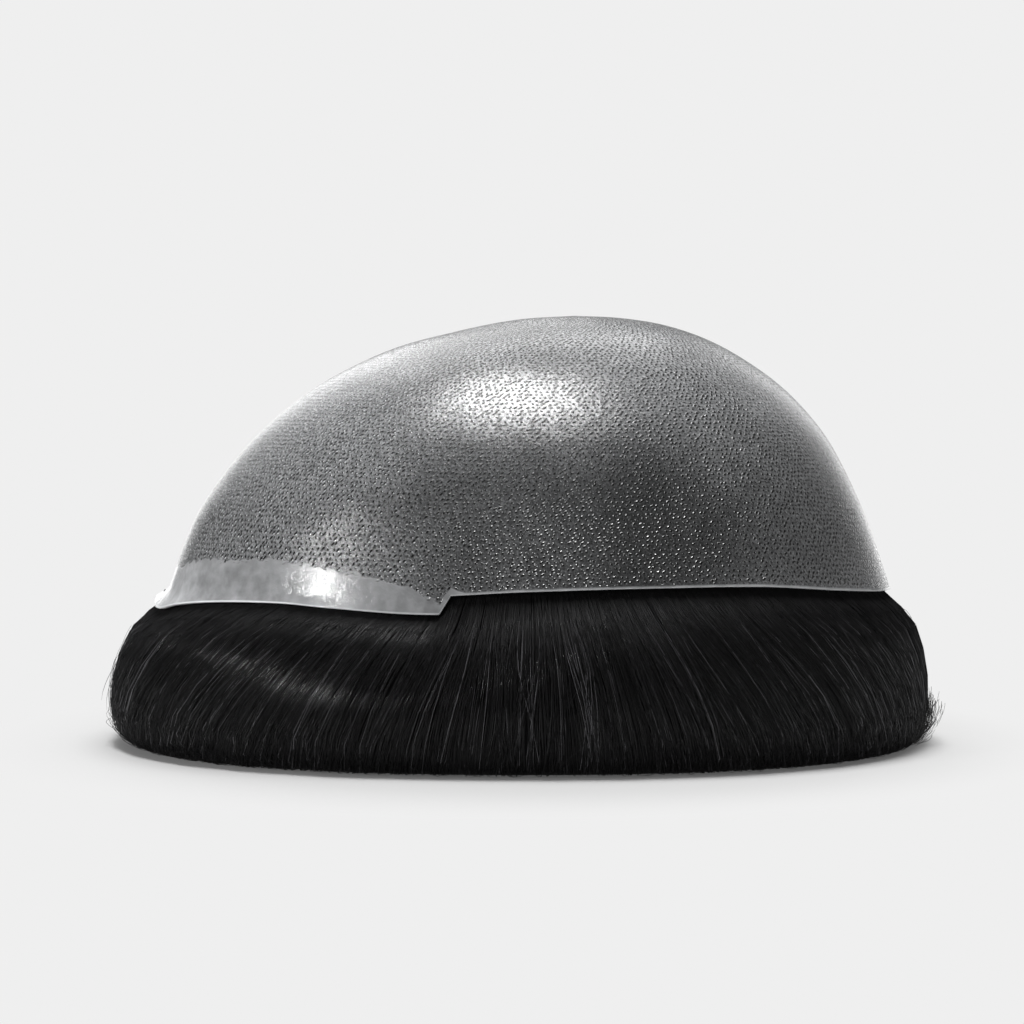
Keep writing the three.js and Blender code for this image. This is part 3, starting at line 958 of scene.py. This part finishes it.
def mirrored(across, down, distance):
    """Place that the skin mirrors to the camera at a point of the picture, and the point of the skin that
    does it: the line of sight, turned about the skin's normal at the nearest visible point of the skin."""
    eye = np.array(camera.location)
    normal = skin_normal(skin_angles, np.minimum(skin_reach, 1))
    point = skin_point(skin_angles, skin_reach)
    sight = point - eye
    ahead = sight @ np.array([0, math.cos(camera_pitch), -math.sin(camera_pitch)])
    upward = sight @ np.array([0, math.sin(camera_pitch), math.cos(camera_pitch)])
    zoom = camera.data.lens / camera.data.sensor_width
    off_across = 0.5 + zoom * sight[..., 0] / ahead - across / picture
    off_down = 0.5 - zoom * upward / ahead - down / picture
    off = np.where(np.sum(sight * normal, axis=-1) < 0, np.hypot(off_across, off_down), np.inf)
    nearest = np.unravel_index(np.argmin(off), off.shape)
    line, square = unit(sight[nearest]), normal[nearest]
    bounce = line - 2 * np.dot(line, square) * square
    return point[nearest] + bounce * distance, point[nearest]


def area_light(name, place, target, wide, high, power, mirrors):
    """A soft rectangular light at a place, turned to a target. Glossy film shows it only if it mirrors."""
    light = bpy.data.objects.new(name, bpy.data.lights.new(name, "AREA"))
    light.data.shape = "RECTANGLE"
    light.data.size = wide
    light.data.size_y = high
    light.data.energy = power
    light.location = place
    aim = np.array(target, float) - np.array(place, float)
    level = math.hypot(aim[0], aim[1])
    light.rotation_euler = (math.pi / 2 + math.atan2(aim[2], level), 0, math.atan2(-aim[0], aim[1]))
    bpy.context.scene.collection.objects.link(light)
    light.visible_glossy = mirrors


low_target = (0, 0, 0.07)
high_target = (0, 0, 0.08)
area_light("key", *mirrored(514, 400, 1.2), 0.62, 0.22, 22.0, mirrors=True)
area_light("strip_key", *mirrored(322, 573, 1.1), 0.24, 0.05, 3.8, mirrors=True)
area_light("left_edge", (-0.42, 1.45, 0.5), low_target, 0.45, 1.1, 2.3, mirrors=True)
area_light("left_side", (-1.4, -0.1, 0.6), low_target, 0.6, 0.8, 1.0, mirrors=False)
area_light("right_edge", (0.62, 1.35, 0.4), low_target, 0.5, 1.0, 2.4, mirrors=True)
area_light("top", (-0.1, 0.9, 1.3), high_target, 1.1, 0.6, 7.0, mirrors=True)
area_light("top_edge", (-0.3, 1.5, 0.75), high_target, 0.8, 0.4, 1.7, mirrors=True)
area_light("overhead", (0.35, 0.2, 1.3), high_target, 0.8, 0.6, 10.0, mirrors=False)

# The surround lights the hairpiece weakly, and the camera sees it pale
surround = 0.863
fill = 0.16
world = bpy.data.worlds.new("surround")
bpy.context.scene.world = world
world.use_nodes = True
world.node_tree.nodes.clear()
Val.tree = world.node_tree
seen = Val.node("LightPath", output="Is Camera Ray")
backdrop = Val.node("Background", {}, {"Color": (1, 1, 1, 1), "Strength": fill + seen * (surround - fill)})
Val.tree.links.new(backdrop.socket, Val.tree.nodes.new("ShaderNodeOutputWorld").inputs["Surface"])

# The floor is a wide disc. Close to the hair it takes its shadow, and further off it runs into the surround
floor_radius = 6.0
floor_tone = 0.36
shadow_reach = (0.110, 0.106, 1.0)
least_glow = 0.1
ring = np.linspace(0, 2 * math.pi, 97)[:-1]
floor_mesh = bpy.data.meshes.new("floor")
floor_rim = np.stack([np.cos(ring) * floor_radius, np.sin(ring) * floor_radius, np.zeros_like(ring)], axis=1)
floor_mesh.from_pydata(floor_rim.tolist(), [], [list(range(len(ring)))])
floor = bpy.data.objects.new("floor", floor_mesh)
bpy.context.scene.collection.objects.link(floor)
floor_material, floor_surface = new_material("pale_floor")
distance = oval_distance(Val.node("TexCoord", output=3), (0.0, 0.0, 0.0), shadow_reach)
far = least_glow + (1 - least_glow) * distance.rising(0.9, 1.3)
lit_floor = Val.node("BsdfDiffuse", {}, {"Color": (floor_tone, floor_tone, floor_tone, 1)})
glow = Val.node("Emission", {}, {"Color": (1, 1, 1, 1), "Strength": surround})
floor_mix = Val.node("MixShader", {}, {0: far, 1: lit_floor, 2: glow})
Val.tree.links.new(floor_mix.socket, floor_surface)
floor_mesh.materials.append(floor_material)
